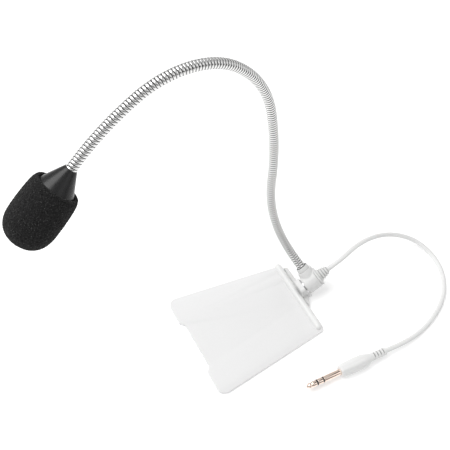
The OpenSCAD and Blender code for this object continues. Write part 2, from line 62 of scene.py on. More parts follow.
sight = (looks_at - camera_at) / np.linalg.norm(looks_at - camera_at)
level_right = np.cross(sight, [0.0, 0.0, 1.0])
level_right /= np.linalg.norm(level_right)
level_up = np.cross(level_right, sight)
camera_pose = np.eye(4)
camera_pose[:3, 0] = level_right * math.cos(camera_roll) + level_up * math.sin(camera_roll)
camera_pose[:3, 1] = level_up * math.cos(camera_roll) - level_right * math.sin(camera_roll)
camera_pose[:3, 2] = -sight
camera_pose[:3, 3] = camera_at

camera_data = bpy.data.cameras.new("camera")
camera_data.lens = 64
camera_data.sensor_width = 36
camera = bpy.data.objects.new("camera", camera_data)
bpy.context.scene.collection.objects.link(camera)
camera.matrix_world = Matrix(camera_pose.tolist())
bpy.context.scene.camera = camera


# ---------------------------------------------------------------- cord
# A thin white microphone lead with a smooth soft jacket. It leaves the strain relief along the swivel
# axis, drops to the table in a wide loop and comes back beside the plate to its plug.

swivel_joint = next(j for j in frame["joints"] if j["name"] == "barrel_swivel")
barrel_centre = np.array(swivel_joint["pos_m"])
swivel_axis = np.array(swivel_joint["axis"])
cord_radius = 1.4 * MM
relief_end = 11.2 * MM
plug_yaw = math.radians(2.0)
plug_axis = np.array([-math.cos(plug_yaw), math.sin(plug_yaw), 0.0])
handle_face = np.array([28.4, -51.1, 4.1]) * MM
handle_length = 20.3 * MM
tail_length = 9.8 * MM

cord_exit = barrel_centre + swivel_axis * relief_end
plug_back = handle_face - plug_axis * (handle_length + tail_length)
cord_route = np.array([
    [60.5, 3, 19.2], [67, 4.5, 20.6], [74, 6.5, 20.4], [80.5, 8, 19.2],
    [87.5, 9, 17.4], [94.5, 9.5, 15], [101.5, 9, 12.4], [108, 7.5, 9.8],
    [114, 4.5, 7.4], [119, 0.5, 5.2], [122, -5, 3.6], [123.6, -11.5, 2.5],
    [123.4, -18.2, 1.8], [121.5, -25, 1.5], [118, -31, 1.4], [113.5, -36.5, 1.4],
    [108, -41, 1.4], [101.5, -44.8, 1.4], [94.8, -47.8, 1.4], [88, -50, 1.6],
    [81, -51.6, 2.2], [74, -52.4, 3], [67, -52.6, 3.6],
]) * MM


def smooth_path(points, per_span):
    """Uniform cubic B-spline whose control points are the route: each span blends four neighbours by
    (1-u)^3, 3u^3-6u^2+4, -3u^3+3u^2+3u+1 and u^3, all over 6. The first and last neighbours are
    mirrored through the ends, so the line starts and stops exactly there."""
    control = np.vstack([2 * points[0] - points[1], points, 2 * points[-1] - points[-2]])
    u = np.arange(per_span)[:, None] / per_span
    weights = np.hstack([
        (1 - u) ** 3, 3 * u ** 3 - 6 * u ** 2 + 4, -3 * u ** 3 + 3 * u ** 2 + 3 * u + 1, u ** 3]) / 6
    windows = np.stack([control[k:k + len(points) - 1] for k in range(4)], axis=1)
    line = np.einsum("uk,skx->sux", weights, windows).reshape(-1, 3)
    return np.vstack([line, points[-1]])


def path_frames(line, across):
    """Unit tangents of a line by central differences, and two unit vectors square to them, the first
    as near as it can be to `across`."""
    tangent = np.gradient(line, axis=0)
    tangent /= np.linalg.norm(tangent, axis=1, keepdims=True)
    side = np.cross(np.broadcast_to(across, tangent.shape), tangent)
    side /= np.linalg.norm(side, axis=1, keepdims=True)
    return tangent, side, np.cross(tangent, side)


def skin(points, cap_start=True, cap_end=True):
    """Closed shell over a grid of points, rows along it and columns anticlockwise round it as seen from
    its far end. Each cell is a quad, the last column joins the first, and each end row is closed by a
    fan to its mean point. Returns the corners and the faces."""
    rows, columns = points.shape[:2]
    left = np.arange(rows * columns).reshape(rows, columns)
    right = np.roll(left, -1, axis=1)
    faces = np.stack([left[:-1], right[:-1], right[1:], left[1:]], axis=-1).reshape(-1, 4).tolist()
    corners = points.reshape(-1, 3)
    if cap_start:
        corners = np.vstack([corners, points[0].mean(axis=0)])
        faces += np.stack([right[0], left[0], np.full(columns, len(corners) - 1)], axis=-1).tolist()
    if cap_end:
        corners = np.vstack([corners, points[-1].mean(axis=0)])
        faces += np.stack([left[-1], right[-1], np.full(columns, len(corners) - 1)], axis=-1).tolist()
    return corners, faces


def smooth_object(name, mesh, material):
    """Shades a mesh smooth, gives it its finish and puts it in the scene as an object."""
    mesh.polygons.foreach_set("use_smooth", [True] * len(mesh.polygons))
    mesh.materials.clear()
    mesh.materials.append(material)
    piece = bpy.data.objects.new(name, mesh)
    bpy.context.scene.collection.objects.link(piece)
    return piece


def make_piece(name, material, *skins, crease=40):
    """One mesh object from one or more shells, shaded smooth except across edges sharper than crease."""
    corners, faces, start = [], [], 0
    for shell_corners, shell_faces in skins:
        corners.append(shell_corners)
        faces += [[corner + start for corner in face] for face in shell_faces]
        start += len(shell_corners)
    mesh = bpy.data.meshes.new(name)
    mesh.from_pydata(np.vstack(corners).tolist(), [], faces)
    piece = smooth_object(name, mesh, material)
    mesh.set_sharp_from_angle(angle=math.radians(crease))
    return piece


def finish(name, colour, roughness, metallic=0.0, specular=0.5, sheen=0.0):
    """A new material with one Principled shader whose plain values sit on its own sockets. Returns the
    material, its node tree and the shader."""
    material = bpy.data.materials.new(name)
    material.use_nodes = True
    tree = material.node_tree
    shader = next(n for n in tree.nodes if n.type == "BSDF_PRINCIPLED")
    shader.inputs["Base Color"].default_value = (*colour, 1.0)
    shader.inputs["Roughness"].default_value = roughness
    shader.inputs["Metallic"].default_value = metallic
    shader.inputs["Specular IOR Level"].default_value = specular
    shader.inputs["Sheen Weight"].default_value = sheen
    return material, tree, shader


def grain(tree, shader, scale, colour_pair, roughness_pair, bump_height, bump_distance, detail=3.0,
          kind="ShaderNodeTexNoise"):
    """Adds a fine pattern on Object coordinates: it mixes two close colours and two roughnesses, and
    raises a small bump. `kind` is the texture node's type and `scale` is its number of cells a metre.
    Returns the ramp between the two colours."""
    nodes, links = tree.nodes, tree.links
    place = nodes.new("ShaderNodeTexCoord")
    pattern = nodes.new(kind)
    pattern.inputs["Scale"].default_value = scale
    if "Detail" in pattern.inputs:
        pattern.inputs["Detail"].default_value = detail
    links.new(place.outputs["Object"], pattern.inputs["Vector"])
    height = pattern.outputs["Fac"] if "Fac" in pattern.outputs else pattern.outputs["Distance"]
    ramp = nodes.new("ShaderNodeValToRGB")
    ramp.color_ramp.elements[0].position = 0.3
    ramp.color_ramp.elements[1].position = 0.7
    ramp.color_ramp.elements[0].color = (*colour_pair[0], 1.0)
    ramp.color_ramp.elements[1].color = (*colour_pair[1], 1.0)
    links.new(height, ramp.inputs["Fac"])
    links.new(ramp.outputs["Color"], shader.inputs["Base Color"])
    gloss = nodes.new("ShaderNodeMapRange")
    gloss.inputs["To Min"].default_value = roughness_pair[0]
    gloss.inputs["To Max"].default_value = roughness_pair[1]
    links.new(height, gloss.inputs["Value"])
    links.new(gloss.outputs["Result"], shader.inputs["Roughness"])
    bump = nodes.new("ShaderNodeBump")
    bump.inputs["Strength"].default_value = bump_height
    bump.inputs["Distance"].default_value = bump_distance
    links.new(height, bump.inputs["Height"])
    links.new(bump.outputs["Normal"], shader.inputs["Normal"])
    return ramp


jacket_white, tree, shader = finish("cord_jacket", (0.78, 0.78, 0.775), 0.45, specular=0.4)
grain(tree, shader, 900.0, ((0.76, 0.76, 0.755), (0.80, 0.80, 0.795)), (0.36, 0.5), 0.12, 0.00006)

cord_line = smooth_path(np.vstack([cord_exit, cord_route, plug_back]), 10)
_, cord_side, cord_over = path_frames(cord_line, np.array([0.0, 0.0, 1.0]))
turn = np.linspace(0, 2 * np.pi, 20, endpoint=False)
cord_skin = (cord_line[:, None] + cord_radius * (
    cord_side[:, None] * np.cos(turn)[None, :, None] + cord_over[:, None] * np.sin(turn)[None, :, None]))
cord = make_piece("cord_jacket", jacket_white, skin(cord_skin))
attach(cord, "base")
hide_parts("cord")


# ---------------------------------------------------------------- plug
# Three-contact plug on the cord's end: turned gold-plated brass rings parted by black insulators, and a
# white handle moulded over them with soft finger flats and a slotted tail round the cord.

contact_radius = 1.75
sleeve_end = 10.75
ring_from, ring_to = 11.55, 14.62
tip_from, tip_to = 15.42, 21.5


def eased(profile, ease, steps=4):
    """Profile of (along, radius) pairs with its corners softened: each corner P becomes the curve
    (1-t)^2 A + 2t(1-t) P + t^2 B between points A and B that lie `ease` before and after it."""
    profile = np.array(profile, float)
    before, corner, after = profile[:-2], profile[1:-1], profile[2:]
    reach_in = np.minimum(ease, 0.45 * np.linalg.norm(corner - before, axis=1, keepdims=True))
    reach_out = np.minimum(ease, 0.45 * np.linalg.norm(after - corner, axis=1, keepdims=True))
    a = corner + (before - corner) / np.linalg.norm(before - corner, axis=1, keepdims=True) * reach_in
    b = corner + (after - corner) / np.linalg.norm(after - corner, axis=1, keepdims=True) * reach_out
    t = np.linspace(0, 1, steps)[None, :, None]
    curves = (1 - t) ** 2 * a[:, None] + 2 * t * (1 - t) * corner[:, None] + t ** 2 * b[:, None]
    return np.vstack([profile[:1], curves.reshape(-1, 2), profile[-1:]])


def square_to(axis):
    """Two unit vectors square to an axis and to each other, anticlockwise round it."""
    first = np.cross([0.0, 1.0, 0.0], axis)
    first /= np.linalg.norm(first)
    return first, np.cross(axis, first)


def turned(profile, origin, axis, columns=48, shape=1.0):
    """Profile of (along, radius) pairs in millimetres, turned about an axis: origin + axis x along +
    radius x (first cos a + second sin a). `shape` multiplies the radius, row by row and round it."""
    profile = np.asarray(profile, float) * MM
    first, second = square_to(axis)
    a = np.linspace(0, 2 * np.pi, columns, endpoint=False)
    spoke = first * np.cos(a)[:, None] + second * np.sin(a)[:, None]
    radius = profile[:, 1:2] * np.broadcast_to(shape, (len(profile), columns))
    return origin + axis * profile[:, :1, None] + radius[:, :, None] * spoke[None]


def mark_points(piece, name, values):
    """Stores one number for each corner of a piece, which its finish reads by this name."""
    piece.data.attributes.new(name, "FLOAT", "POINT").data.foreach_set("value", np.asarray(values, np.float32))


def tint_marked(tree, shader, ramp, name, colour):
    """Mixes a second, darker colour over the grain's own, as strongly as the marks called `name` say: painted
    shade in grooves, gaps and pits.
    """
    marks = tree.nodes.new("ShaderNodeAttribute")
    marks.attribute_name = name
    tint = tree.nodes.new("ShaderNodeMix")
    tint.data_type = "RGBA"
    tint.inputs["B"].default_value = (*colour, 1.0)
    tree.links.new(marks.outputs["Fac"], tint.inputs["Factor"])
    tree.links.new(ramp.outputs["Color"], tint.inputs["A"])
    tree.links.new(tint.outputs["Result"], shader.inputs["Base Color"])


gold, tree, shader = finish("gold_plate", (0.95, 0.79, 0.69), 0.1, metallic=1.0)
grain(tree, shader, 2600.0, ((0.93, 0.74, 0.63), (0.97, 0.84, 0.75)), (0.06, 0.14), 0.05, 0.00001)
core_black, tree, shader = finish("insulator_black", (0.02, 0.02, 0.02), 0.35)
grain(tree, shader, 3000.0, ((0.012, 0.012, 0.012), (0.03, 0.03, 0.03)), (0.3, 0.45), 0.1, 0.00002)
moulded_white, tree, shader = finish("moulded_white", (0.785, 0.785, 0.78), 0.36, specular=0.45)
ramp = grain(tree, shader, 1500.0, ((0.77, 0.77, 0.765), (0.80, 0.80, 0.795)), (0.3, 0.44), 0.1, 0.00003)
# Grey mixed in where a piece's slots and grooves are marked is painted shade.
tint_marked(tree, shader, ramp, "groove_shade", (0.3, 0.3, 0.3))

sleeve = make_piece("plug_sleeve_contact", gold, skin(turned(eased([
    (-2, 1.5), (-0.05, 1.5), (0, contact_radius), (sleeve_end, contact_radius), (sleeve_end, 1.3)],
    0.14), handle_face, plug_axis)))
ring = make_piece("plug_ring_contact", gold, skin(turned(eased([
    (ring_from, 1.3), (ring_from, contact_radius), (ring_to, contact_radius), (ring_to, 1.3)],
    0.14), handle_face, plug_axis)))
tip = make_piece("plug_tip_contact", gold, skin(turned(eased([
    (tip_from, 1.3), (tip_from, contact_radius), (17.9, contact_radius), (18.6, 1.3), (19.6, 1.7),
    (20.3, 1.45), (tip_to, 0.5), (tip_to, 0.1)], 0.3), handle_face, plug_axis)))
insulator_radius, insulator_bore, insulator_lap = 1.68, 1.2, 0.1
insulators = make_piece("plug_insulator_rings", core_black, *(
    skin(turned(eased([
        (start - insulator_lap, insulator_bore), (start - insulator_lap, insulator_radius),
        (end + insulator_lap, insulator_radius), (end + insulator_lap, insulator_bore)],
        0.05), handle_face, plug_axis))
    for start, end in ((sleeve_end, ring_from), (ring_to, tip_from))))

handle_outline = eased([
    (-20.5, 1.6), (-20.5, 2.3), (-18.2, 3.1), (-15.5, 3.9), (-10, 4.1), (-5, 3.88), (-1.2, 3.62),
    (0, 3.4), (0, 1.8)], 0.4, 6)
handle_columns = 64
finger_turn = np.linspace(0, 2 * np.pi, handle_columns, endpoint=False)
flat_fade = np.clip((handle_outline[:, 1] - 2.6) / 1.0, 0, 1)
handle_shape = 1 - 0.05 * flat_fade[:, None] * (0.5 + 0.5 * np.cos(8 * finger_turn))[None] ** 2
tail_along = np.linspace(-30.1, -20.0, 118)
slots, first_slot, slot_pitch, slot_half_width = 4, -28.14, 1.96, 0.33
slot_centres = first_slot + slot_pitch * np.arange(slots)
slot_depth = np.exp(-(((tail_along[:, None] - slot_centres[None]) / slot_half_width) ** 6))
slot_side = np.broadcast_to(np.clip(3 * np.abs(np.cos(finger_turn - 0.4)) - 0.3, 0, 1), (slots, handle_columns))
tail_shape = 1 - 0.36 * slot_depth @ slot_side
tail_radius = 2.3 - 0.25 * np.clip((-29.5 - tail_along) / 0.6, 0, 1) ** 2
handle = make_piece(
    "plug_handle_moulding", moulded_white,
    skin(turned(handle_outline, handle_face, plug_axis, handle_columns, handle_shape)),
    skin(turned(np.stack([tail_along, tail_radius], axis=1), handle_face, plug_axis, handle_columns,
                tail_shape)))
# Marks the tail's slots, most at their floors, for the painted shade.
mark_points(handle, "groove_shade", np.concatenate([
    np.zeros(handle_outline.shape[0] * handle_columns + 2), (slot_depth @ slot_side).ravel() ** 2, [0, 0]]))

for piece, node, finish_slot in (
        (sleeve, "plug_sleeve", "gold_plate"), (ring, "plug_ring", "gold_plate"),
        (tip, "plug_tip", "gold_plate"), (insulators, "plug_insulators", "black_plastic"),
        (handle, "plug_handle", "white_plastic")):
    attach(piece, "base")
    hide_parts(node)


# ---------------------------------------------------------------- foot plate
# Thin plate that slides under the edge of a screen or stand: sheet steel with rolled corners and a shallow
# finger notch, coated in smooth white enamel. Four small screws hold the stop bead from below.

enamel_white, tree, shader = finish("plate_enamel", (0.785, 0.785, 0.785), 0.5, specular=0.35)
grain(tree, shader, 900.0, ((0.78, 0.78, 0.78), (0.79, 0.79, 0.79)), (0.46, 0.56), 0.05, 0.00004, 2.0)


def softened(node, name, material, ease, steps=3):
    """Copy of a CAD node's mesh with its loose triangles merged and its edges rolled over by `ease`."""
    mesh = frame["nodes"][node].data.copy()
    mesh.name = name
    mesh.transform(frame["nodes"][node].matrix_world)
    work = bmesh.new()
    work.from_mesh(mesh)
    bmesh.ops.remove_doubles(work, verts=work.verts, dist=1e-6)
    bmesh.ops.dissolve_limit(work, angle_limit=math.radians(0.5), verts=work.verts, edges=work.edges)
    work.to_mesh(mesh)
    work.free()
    piece = smooth_object(name, mesh, material)
    roll = piece.modifiers.new("rolled_edges", "BEVEL")
    roll.width = ease * MM
    roll.segments = steps
    roll.limit_method = "ANGLE"
    roll.angle_limit = math.radians(32)
    roll.harden_normals = True
    roll.use_clamp_overlap = True
    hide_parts(node)
    return piece


plate = softened("foot_plate", "foot_plate_sheet", enamel_white, 0.45)
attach(plate, "base")


# ---------------------------------------------------------------- stop bead
# Half-round white plastic strip along the far end of the plate, with ball-shaped ends. It butts against
# what stands on the plate.

bead_line = np.array([33.8, 0.0, 1.8])
bead_half = 22.3
bead_shift = 1.4
bead_radius = 2.2
bead_along = np.concatenate([-bead_half - bead_radius * np.cos(np.linspace(0.06, np.pi / 2, 9)),
                             np.linspace(-bead_half, bead_half, 25)[1:-1],
                             bead_half + bead_radius * np.cos(np.linspace(np.pi / 2, 0.06, 9))])
bead_size = np.sqrt(np.clip(1 - (np.maximum(np.abs(bead_along) - bead_half, 0) / bead_radius) ** 2, 0.003, 1))
arch = np.linspace(0, np.pi, 25)
section_x = np.concatenate([np.cos(arch), np.linspace(-1, 1, 9)[1:-1]])
section_z = np.concatenate([np.sin(arch), np.zeros(7)])
bead_points = bead_line * MM + MM * np.stack([
    bead_radius * bead_size[:, None] * section_x[None],
    np.broadcast_to(bead_shift + bead_along[:, None], (len(bead_along), len(section_x))),
    bead_radius * bead_size[:, None] * section_z[None]], axis=-1)
bead = make_piece("stop_bead_strip", moulded_white, skin(bead_points[:, ::-1]))
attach(bead, "base")
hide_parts("stop_bead")


# ---------------------------------------------------------------- bracket
# White moulding clamped under the bead: a bar along the plate's end, and a leaning lug with a gusset
# that carries the swivel's screw.

# The same white plastic as the moulded white, set darker for the barrel, cap, collar and bracket: painted
# shade.
shaded_barrel_white, tree, shader = finish("shaded_barrel_white", (0.71, 0.71, 0.705), 0.38, specular=0.5)
grain(tree, shader, 1500.0, ((0.695, 0.695, 0.69), (0.725, 0.725, 0.72)), (0.32, 0.46), 0.1, 0.00003)
bracket = softened("bracket", "bracket_moulding", shaded_barrel_white, 0.3)
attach(bracket, "base")


# ---------------------------------------------------------------- swivel barrel
# Short white barrel that turns on the lug, with the neck's socket moulded into its side. A cap closes
# its outer end and holds the strain relief.

barrel_radius = 5.8
barrel_half = 5.0
cap_thickness = 1.4
socket_radius = 4.5
socket_end = 8.0
socket_turn = math.radians(38)
axis_up = np.cross(swivel_axis, [0.0, 1.0, 0.0])
socket_axis = np.array([0.0, math.cos(socket_turn), 0.0]) + math.sin(socket_turn) * axis_up
neck_bends_to = np.array([0.0, -math.sin(socket_turn), 0.0]) + math.cos(socket_turn) * axis_up


def socket_shell(columns=72, arc_steps=9):
    """Socket that grows out of the barrel's side with a rolling-ball fillet. A ball of radius f rests on
    both cylinders at angle a round the socket: it sits f + socket radius from the socket's axis and
    f + barrel radius from the barrel's, and the fillet is its arc between the two touching points. Below
    it the shell dives into the barrel, and above it the wall runs straight to an eased rim."""
    a = np.linspace(0, 2 * np.pi, columns, endpoint=False)
    first, second = swivel_axis, np.cross(socket_axis, swivel_axis)
    fillet = 0.3 + 1.1 * np.sin(a) ** 2
    out = (socket_radius + fillet)
    height = np.sqrt((barrel_radius + fillet) ** 2 - (out * np.sin(a)) ** 2)
    spoke = first * np.cos(a)[:, None] + second * np.sin(a)[:, None]
    ball = spoke * out[:, None] + socket_axis * height[:, None]
    on_socket = -spoke
    across_barrel = ball - swivel_axis * (ball @ swivel_axis)[:, None]
    on_barrel = -across_barrel / np.linalg.norm(across_barrel, axis=1, keepdims=True)
    t = np.linspace(0, 1, arc_steps)[:, None, None]
    direction = (1 - t) * on_barrel[None] + t * on_socket[None]
    direction /= np.linalg.norm(direction, axis=2, keepdims=True)
    arc = ball[None] + fillet[None, :, None] * direction
    dive = arc[:1] - socket_axis * 1.5 - 0.15 * spoke[None]
    root = dive - socket_axis * 1.5
    rim = np.array([(socket_end - 0.25, 0.0), (socket_end - 0.08, 0.07), (socket_end, 0.25), (socket_end, 1.0)])
    wall = spoke[None] * (socket_radius - rim[:, 1])[:, None, None] + socket_axis * rim[:, 0][:, None, None]
    wall[0] = np.maximum(wall[0] @ socket_axis, height + 0.02)[:, None] * socket_axis + spoke * socket_radius
    return barrel_centre + MM * np.concatenate([root, dive, arc, wall])


barrel_shell = turned(eased([
    (-barrel_half, 1.6), (-barrel_half, barrel_radius), (barrel_half - cap_thickness, barrel_radius),
    (barrel_half - cap_thickness, 4.6)], 0.8, 7), barrel_centre, swivel_axis, 72)
barrel = make_piece("swivel_barrel", shaded_barrel_white, skin(barrel_shell), skin(socket_shell()))
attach(barrel, "swivel")
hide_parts("barrel_body")

cap = make_piece("barrel_end_cap", shaded_barrel_white, skin(turned(eased([
    (barrel_half - cap_thickness + 0.12, 4.6), (barrel_half - cap_thickness + 0.06, barrel_radius - 0.03),
    (barrel_half, barrel_radius - 0.03), (barrel_half, 2.2)], 0.55, 7), barrel_centre, swivel_axis, 72)))
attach(cap, "swivel")
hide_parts("barrel_cap")


# ---------------------------------------------------------------- strain relief
# Soft white moulded boot with four tapering ribs, so that the cord can't kink where it leaves the cap.

boot_white, tree, shader = finish("soft_white", (0.76, 0.76, 0.755), 0.5, specular=0.4)
ramp = grain(tree, shader, 1300.0, ((0.74, 0.74, 0.735), (0.78, 0.78, 0.775)), (0.44, 0.6), 0.12, 0.00003)
# The grey mixed into the marked grooves between the ribs is painted shade.
tint_marked(tree, shader, ramp, "groove_shade", (0.42, 0.42, 0.42))
ribs, rib_pitch, first_rib_radius, rib_step_down = 4, 1.55, 3.9, 0.33
relief_columns = 60
rib_at = barrel_half + np.arange(ribs) * rib_pitch
rib_top = first_rib_radius - rib_step_down * np.arange(ribs)
relief_outline = np.vstack([[[4.9, 1.3], [4.9, 3.4]]] + [
    [[at + 0.02, top - 0.6], [at + 0.05, top], [at + 0.95, top - 0.12], [at + 1.0, top - 0.85],
     [at + 1.5, top - 0.95]]
    for at, top in zip(rib_at, rib_top)] + [[[11.2, 2.3], [11.2, 1.3]]])
relief_outline = eased(relief_outline, 0.16)
relief = make_piece("cord_strain_relief", boot_white, skin(turned(
    relief_outline, barrel_centre, swivel_axis, relief_columns)))
along_relief, relief_radius = relief_outline.T
rib_line = first_rib_radius - rib_step_down / rib_pitch * (along_relief - barrel_half)
# How far each row lies below the rib line, which sets the painted shade in the grooves.
shade_below_ribs = np.clip((rib_line - relief_radius) / 0.8, 0, 1) * (along_relief < 11)
mark_points(relief, "groove_shade", np.append(np.repeat(shade_below_ribs, relief_columns), [0, 0]))
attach(relief, "swivel")
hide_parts("strain_relief")


# ---------------------------------------------------------------- neck collar
# White ring pressed into the socket's mouth round the gooseneck, with a thin black rubber seal inside
# its lip.

collar_from, collar_to = 8.0, 10.6
collar = make_piece("neck_collar", shaded_barrel_white, skin(turned(eased([
    (collar_from - 1.5, 2.9), (collar_from - 1.5, 3.45), (collar_from + 0.3, 3.45),
    (collar_from + 0.3, 3.72), (collar_to, 3.72), (collar_to, 3.12), (collar_to - 0.5, 3.08),
    (collar_to - 0.55, 2.75)], 0.3), barrel_centre, socket_axis, 60)))
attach(collar, "swivel")
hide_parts("socket_collar")
seal_black, tree, shader = finish("seal_rubber", (0.02, 0.02, 0.02), 0.6)
grain(tree, shader, 2500.0, ((0.012, 0.012, 0.012), (0.03, 0.03, 0.03)), (0.55, 0.7), 0.15, 0.00002)
seal = make_piece("neck_seal", seal_black, skin(turned(eased([
    (collar_to - 0.5, 2.5), (collar_to - 0.5, 3.1), (collar_to + 0.15, 3.1), (collar_to + 0.3, 2.5)],
    0.08), barrel_centre, socket_axis)))
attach(seal, "swivel")
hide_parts("collar_seal")


# ---------------------------------------------------------------- gooseneck
# Flexible steel neck: round wire wound tight over an inner coil, nickel-plated to a satin silver, with a
# dark line of painted shade where each turn meets the next. Each part of it spans one of the neck's joints.

neck_radius = 2.65
wire_pitch = 1.55
wire_rise = 0.45
gap_from, gap_edge = 0.68, 0.14
neck_columns = 28
wire_phase = np.array([0, 0.03, 0.07, 0.13, 0.22, 0.34, 0.5, 0.66, 0.78, 0.87, 0.93, 0.97])
neck_root = 3.0
neck_end = 4.0
neck_sections = [
    (27.5, 35, 21.5), (41, 23, 44.5), (51.5, 14.5, -137),
    (45, 38.5, 0.5), (51.5, 69, -6.5), (38, 13.5, 25)]


def neck_centreline(step=0.25):
    """Chain of circular arcs. An arc of length L and bend b has radius r = L / b; it first rolls its
    bending side about its heading, then runs P + r (heading sin a + side (1 - cos a)). A short straight
    is put on each end, inside the socket and the housing. Distances are in millimetres."""
    place, heading, side = collar_to * socket_axis, socket_axis, neck_bends_to
    runs = [place + np.arange(-neck_root - 1, 0, step)[:, None] * heading]
    for length, bend, roll in neck_sections:
        bend, roll = math.radians(bend), math.radians(roll)
        side = side * math.cos(roll) + np.cross(heading, side) * math.sin(roll)
        radius = length / bend
        a = np.arange(0, length, step)[:, None] / radius
        runs.append(place + radius * (np.sin(a) * heading + (1 - np.cos(a)) * side))
        place = place + radius * (math.sin(bend) * heading + (1 - math.cos(bend)) * side)
        heading, side = (heading * math.cos(bend) + side * math.sin(bend),
                         side * math.cos(bend) - heading * math.sin(bend))
    runs.append(place + np.arange(0, neck_end + 1, step)[:, None] * heading)
    runs = np.vstack(runs)
    gone = np.concatenate([[0], np.cumsum(np.linalg.norm(np.diff(runs, axis=0), axis=1))]) - neck_root - 1
    return barrel_centre + MM * runs, gone, barrel_centre + MM * place, heading


neck_line, neck_run, head_origin, head_axis = neck_centreline()
_, neck_side, neck_over = path_frames(neck_line, np.array([0.0, 1.0, 0.0]))


def coil_piece(name, run_from, run_to, material):
    """Tube wound from wire along the neck's line between two distances, whole numbers of turns. Its grid
    is wound as the wire is: column a of row k sits (k + a) pitches along, and the last column joins the
    first one turn on, so every row lies on one height of the wire. With w the place across the wire, 0
    to 1, the radius is R - rise x (1 - sqrt(1 - (2w-1)^2)). Rows past an end gather on its ring."""
    turns = np.arange(round(run_from / wire_pitch) - 1, round(run_to / wire_pitch) + 1)
    wire = np.append((turns[:, None] + wire_phase[None]).ravel(), turns[-1] + 1)
    lap = np.arange(neck_columns) / neck_columns
    run = np.clip((wire[:, None] + lap[None]) * wire_pitch, run_from, run_to)
    across_wire = 2 * ((run / wire_pitch - lap[None]) % 1) - 1
    radius = (neck_radius - wire_rise * (1 - np.sqrt(np.clip(1 - across_wire ** 2, 0, 1)))) * MM
    centre, side, over = (np.stack([np.interp(run, neck_run, rail[:, k]) for k in range(3)], axis=-1)
                          for rail in (neck_line, neck_side, neck_over))
    a = 2 * np.pi * lap[None, :, None]
    points = centre + radius[..., None] * (side * np.cos(a) + over * np.sin(a))
    rows = len(wire)
    index = np.arange(rows * neck_columns).reshape(rows, neck_columns)
    one_turn_on = index[np.minimum(np.arange(rows) + len(wire_phase), rows - 1), 0]
    following = np.hstack([index[:, 1:], one_turn_on[:, None]])
    faces = np.stack([index[:-1], following[:-1], following[1:], index[1:]], axis=-1).reshape(-1, 4).tolist()
    corners = np.vstack([points.reshape(-1, 3), points[0].mean(axis=0), points[-1].mean(axis=0)])
    start_ring, end_ring = np.roll(index[0], -1), np.roll(index[-1], -1)
    faces += np.stack([start_ring, index[0], np.full(neck_columns, len(corners) - 2)], axis=-1).tolist()
    faces += np.stack([index[-1], end_ring, np.full(neck_columns, len(corners) - 1)], axis=-1).tolist()
    mesh = bpy.data.meshes.new(name)
    mesh.from_pydata(corners.tolist(), [], faces)
    # Marks where each turn meets the next for a dark line of painted shade.
    gap = mesh.attributes.new("wire_gap_shade", "FLOAT", "POINT")
    gap_shade = np.clip((np.abs(across_wire.ravel()) - gap_from) / gap_edge, 0, 1)
    gap.data.foreach_set("value", np.append(gap_shade, [1, 1]).astype(np.float32))
    work = bmesh.new()
    work.from_mesh(mesh)
    bmesh.ops.remove_doubles(work, verts=work.verts, dist=2e-7)
    work.to_mesh(mesh)
    work.free()
    return smooth_object(name, mesh, material)


nickel, tree, shader = finish("neck_nickel", (0.80, 0.80, 0.795), 0.26, metallic=1.0)
ramp = grain(tree, shader, 2200.0, ((0.77, 0.77, 0.765), (0.84, 0.84, 0.835)), (0.2, 0.3), 0.1, 0.00002)
# Near-black mixed into the marked gaps between turns is painted shade.
tint_marked(tree, shader, ramp, "wire_gap_shade", (0.07, 0.07, 0.07))

section_ends = np.cumsum([length for length, _, _ in neck_sections])
middles = [end - length / 2 for end, (length, _, _) in zip(section_ends, neck_sections)]
part_marks = [-neck_root] + middles + [section_ends[-1] + neck_end]
part_marks = [round(mark / wire_pitch) * wire_pitch for mark in part_marks]
for part, (mark, next_mark) in enumerate(zip(part_marks[:-1], part_marks[1:])):
    coil = coil_piece(f"gooseneck_part_{part + 1}", mark, next_mark, nickel)
    if part == 0:
        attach(coil, "swivel")
        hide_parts("neck_section_1")
    elif part == len(neck_sections):
        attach(coil, "head")
    else:
        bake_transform(coil)
        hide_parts(f"neck_section_{part + 1}")


# ---------------------------------------------------------------- capsule housing
# Black plastic flare moulded with a smooth satin face, pushed over the end of the neck. Its straight
# nose inside the foam holds the capsule.

housing_black, tree, shader = finish("housing_satin", (0.009, 0.009, 0.0095), 0.28, specular=0.34)
grain(tree, shader, 1400.0, ((0.006, 0.006, 0.0065), (0.012, 0.012, 0.0125)), (0.22, 0.34), 0.08, 0.00003)
housing = make_piece("capsule_flare", housing_black, skin(turned(eased([
    (2.25, 2.5), (2.0, 2.62), (2.0, 2.95), (12.7, 8.5), (13.1, 8.9), (13.6, 8.9), (14.2, 7.5),
    (27.0, 7.5), (27.0, 6.7)],
    0.3, 6), head_origin, head_axis, 72)))
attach(housing, "head")
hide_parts("capsule_housing")


# ---------------------------------------------------------------- windscreen
# Egg-shaped ball of charcoal open-cell foam, moulded with a rolled mouth that grips the flare. Its
# surface is all cut cells: small pits between thin walls.

foam_start = 11.7
foam_rows, foam_columns = 270, 330
rim_turn = np.linspace(-np.pi / 2, 0, 12)
swell = np.linspace(0, np.pi / 2, 40)[1:]
dome = np.linspace(0, np.pi / 2, 60)[1:]
foam_along = np.concatenate([
    [1.6, 0.9, 0.25], 1.0 + 1.0 * np.sin(rim_turn), 1.2 + 13.8 * (1 - np.cos(swell)),
    17.2 + 13.6 * np.sin(dome) ** 0.8])
foam_radius = np.concatenate([
    [8.3, 8.42, 8.7], 9.5 + 1.1 * np.cos(rim_turn), 10.6 + 1.4 * np.sin(swell),
    12.0 * np.clip(np.cos(dome), 0, 1) ** 0.8])
reach = np.concatenate([[0], np.cumsum(np.hypot(np.diff(foam_along), np.diff(foam_radius)))])
even = np.linspace(0, reach[-1] - 0.08, foam_rows)
foam_profile = np.stack([foam_start + np.interp(even, reach, foam_along),
                         np.interp(even, reach, foam_radius)], axis=1)


